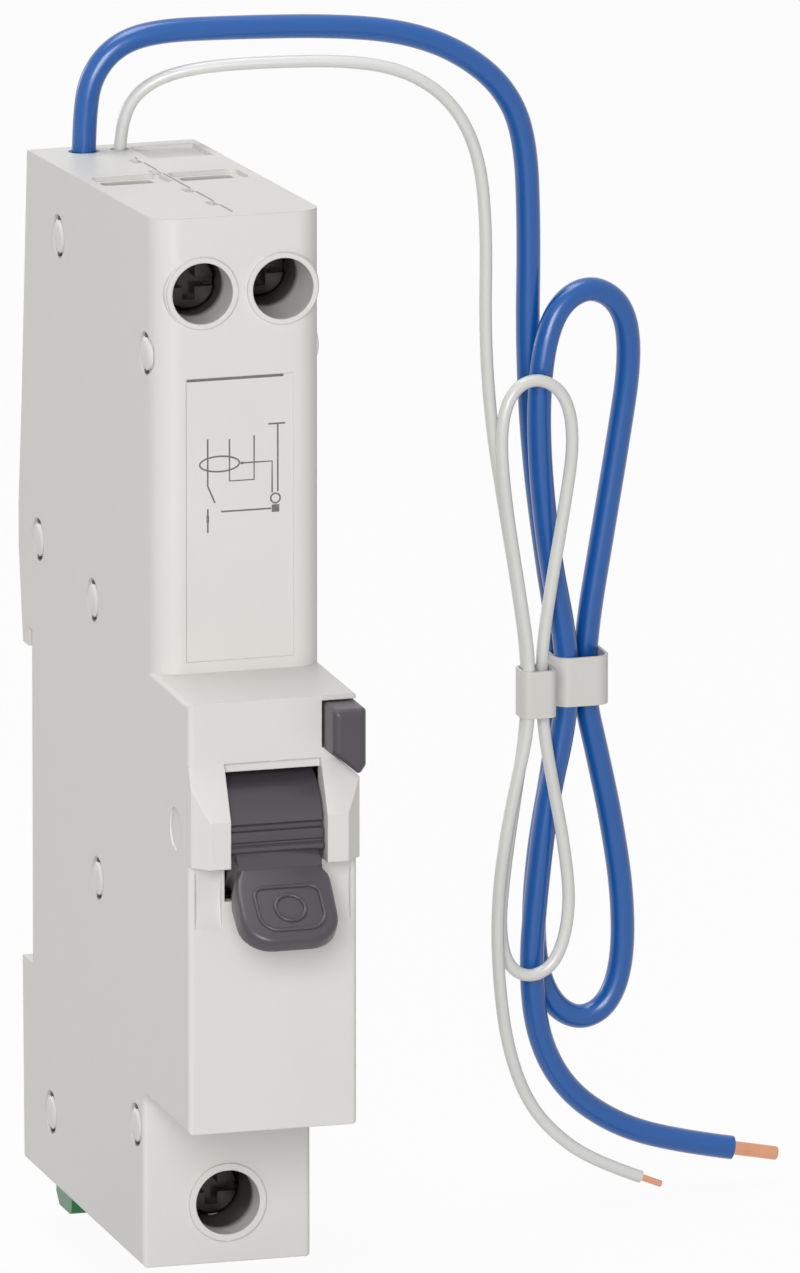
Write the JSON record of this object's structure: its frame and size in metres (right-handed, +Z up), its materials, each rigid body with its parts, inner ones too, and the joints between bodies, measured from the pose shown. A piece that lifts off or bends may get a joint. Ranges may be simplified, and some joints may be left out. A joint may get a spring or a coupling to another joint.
{
  "type": "residual current circuit breaker",
  "caption": "Single-module rail-mounted residual current breaker with toggle, test button, screw terminals, rail clip and two tied fly leads.",
  "frame": {"origin": "middle of the flat face that rests on the 35 mm rail", "axes": "+Z up along the module's height, +Y to the back towards the rail, +X across the module's width"},
  "size_m": [0.0795, 0.0741, 0.1262],
  "materials": {
    "housing_grey": "fine moulded satin",
    "toggle_plastic": "satin",
    "clip_green": "semi-gloss",
    "rivet_grey": "painted to match the case",
    "spring_steel": "drawn",
    "plated_steel": "zinc plated",
    "terminal_steel": "dark plated",
    "copper": "bare copper",
    "brass": "drawn",
    "silver_contact": "satin",
    "bimetal": "rolled",
    "black_plastic": "moulded",
    "fibre_board": "pressed board",
    "board_laminate": "solder mask",
    "blue_insulation": "extruded PVC",
    "white_insulation": "extruded PVC",
    "tie_white": "sleeve"
  },
  "bodies": {
    "root": {"housing_left": "housing_grey", "housing_right": "housing_grey", "housing_rivets": "rivet_grey", "toggle_pin": "spring_steel", "toggle_spring": "spring_steel", "carrier_pin": "spring_steel", "fixed_contact": "copper", "fixed_contact_tip": "silver_contact", "contact_spring": "spring_steel", "arc_plates": "plated_steel", "arc_chamber_boards": "fibre_board", "arc_runner": "plated_steel", "coil_bobbin": "black_plastic", "trip_coil": "copper", "coil_yoke": "plated_steel", "trip_lever_pin": "spring_steel", "bimetal_bracket": "copper", "bimetal_strip": "bimetal", "calibration_screw": "brass", "flexible_braid": "copper", "sensing_core": "fibre_board", "sensing_winding": "copper", "circuit_board": "board_laminate", "board_components": "black_plastic", "release_solenoid": "black_plastic", "test_contact_strip": "brass", "test_button_spring": "spring_steel", "neutral_out_bar": "copper", "load_out_bar": "copper", "line_in_bar": "copper", "rail_clip_spring": "spring_steel", "lead_clamp": "black_plastic", "internal_wires": "blue_insulation", "blue_lead": "blue_insulation", "blue_lead_core": "copper", "blue_lead_tie": "tie_white", "white_lead": "white_insulation", "white_lead_core": "copper", "white_lead_tie": "tie_white"},
    "toggle": {"toggle": "toggle_plastic"},
    "link": {"toggle_link": "spring_steel"},
    "carrier": {"contact_carrier": "black_plastic", "moving_contact_arm": "copper", "moving_contact_tip": "silver_contact"},
    "coil_plunger": {"coil_plunger": "plated_steel"},
    "release_plunger": {"release_plunger": "plated_steel"},
    "trip_lever": {"trip_lever": "black_plastic"},
    "test_button": {"test_button": "toggle_plastic"},
    "rail_clip": {"rail_clip": "clip_green"},
    "neutral_out_screw": {"neutral_out_screw": "terminal_steel"},
    "neutral_out_cage": {"neutral_out_cage": "plated_steel"},
    "load_out_screw": {"load_out_screw": "terminal_steel"},
    "load_out_cage": {"load_out_cage": "plated_steel"},
    "line_in_screw": {"line_in_screw": "terminal_steel"},
    "line_in_cage": {"line_in_cage": "plated_steel"}
  },
  "joints": [
    {"name": "toggle_turn", "type": "hinge", "parent": "root", "child": "toggle", "pos_m": [0, -0.0546, 0.0099], "axis": [-1, 0, 0], "range_deg": [0, 70]},
    {"name": "link_turn", "type": "hinge", "parent": "toggle", "child": "link", "pos_m": [0, -0.0508, 0.01114], "axis": [1, 0, 0], "range_deg": [0, 88.5]},
    {"name": "carrier_turn", "type": "hinge", "parent": "root", "child": "carrier", "pos_m": [0, -0.0385, 0.0035], "axis": [1, 0, 0], "range_deg": [0, 18.1]},
    {"name": "coil_plunger_slide", "type": "slide", "parent": "root", "child": "coil_plunger", "axis": [0, -1, 0], "range_m": [0, 0.0015], "stiffness_N_per_m": 50},
    {"name": "release_plunger_slide", "type": "slide", "parent": "root", "child": "release_plunger", "axis": [0, -1, 0], "range_m": [0, 0.0015]},
    {"name": "trip_lever_turn", "type": "hinge", "parent": "root", "child": "trip_lever", "pos_m": [0, -0.031, 0.012], "axis": [1, 0, 0], "range_deg": [0, 16.6]},
    {"name": "test_button_press", "type": "slide", "parent": "root", "child": "test_button", "axis": [0, 1, 0], "range_m": [0, 0.0018], "stiffness_N_per_m": 250, "deforming": ["test_button_spring"]},
    {"name": "rail_clip_slide", "type": "slide", "parent": "root", "child": "rail_clip", "axis": [0, 0, -1], "range_m": [0, 0.004], "stiffness_N_per_m": 400, "springref_m": -0.001, "deforming": ["rail_clip_spring"]},
    {"name": "neutral_out_cage_lift", "type": "slide", "parent": "root", "child": "neutral_out_cage", "axis": [0, -1, 0], "range_m": [0, 0.002]},
    {"name": "neutral_out_screw_turn", "type": "hinge", "parent": "root", "child": "neutral_out_screw", "pos_m": [-0.00395, -0.0422, 0.06385], "axis": [0, 1, 0], "range_deg": [0, 900.9]},
    {"name": "load_out_cage_lift", "type": "slide", "parent": "root", "child": "load_out_cage", "axis": [0, -1, 0], "range_m": [0, 0.002]},
    {"name": "load_out_screw_turn", "type": "hinge", "parent": "root", "child": "load_out_screw", "pos_m": [0.00455, -0.0385, 0.06385], "axis": [0, 1, 0], "range_deg": [0, 900.9]},
    {"name": "line_in_cage_lift", "type": "slide", "parent": "root", "child": "line_in_cage", "axis": [0, -1, 0], "range_m": [0, 0.002]},
    {"name": "line_in_screw_turn", "type": "hinge", "parent": "root", "child": "line_in_screw", "pos_m": [0, -0.0362, -0.0331], "axis": [0, 1, 0], "range_deg": [0, 900.9]}
  ],
  "couplings": [
    {"joint": "link_turn", "follows": "toggle_turn", "ratio": 1.2565},
    {"joint": "carrier_turn", "follows": "toggle_turn", "ratio": 0.25714},
    {"joint": "trip_lever_turn", "follows": "release_plunger_slide", "rad_per_m": 191.99},
    {"joint": "neutral_out_screw_turn", "follows": "neutral_out_cage_lift", "rad_per_m": 7854},
    {"joint": "load_out_screw_turn", "follows": "load_out_cage_lift", "rad_per_m": 7854},
    {"joint": "line_in_screw_turn", "follows": "line_in_cage_lift", "rad_per_m": 7854}
  ]
}
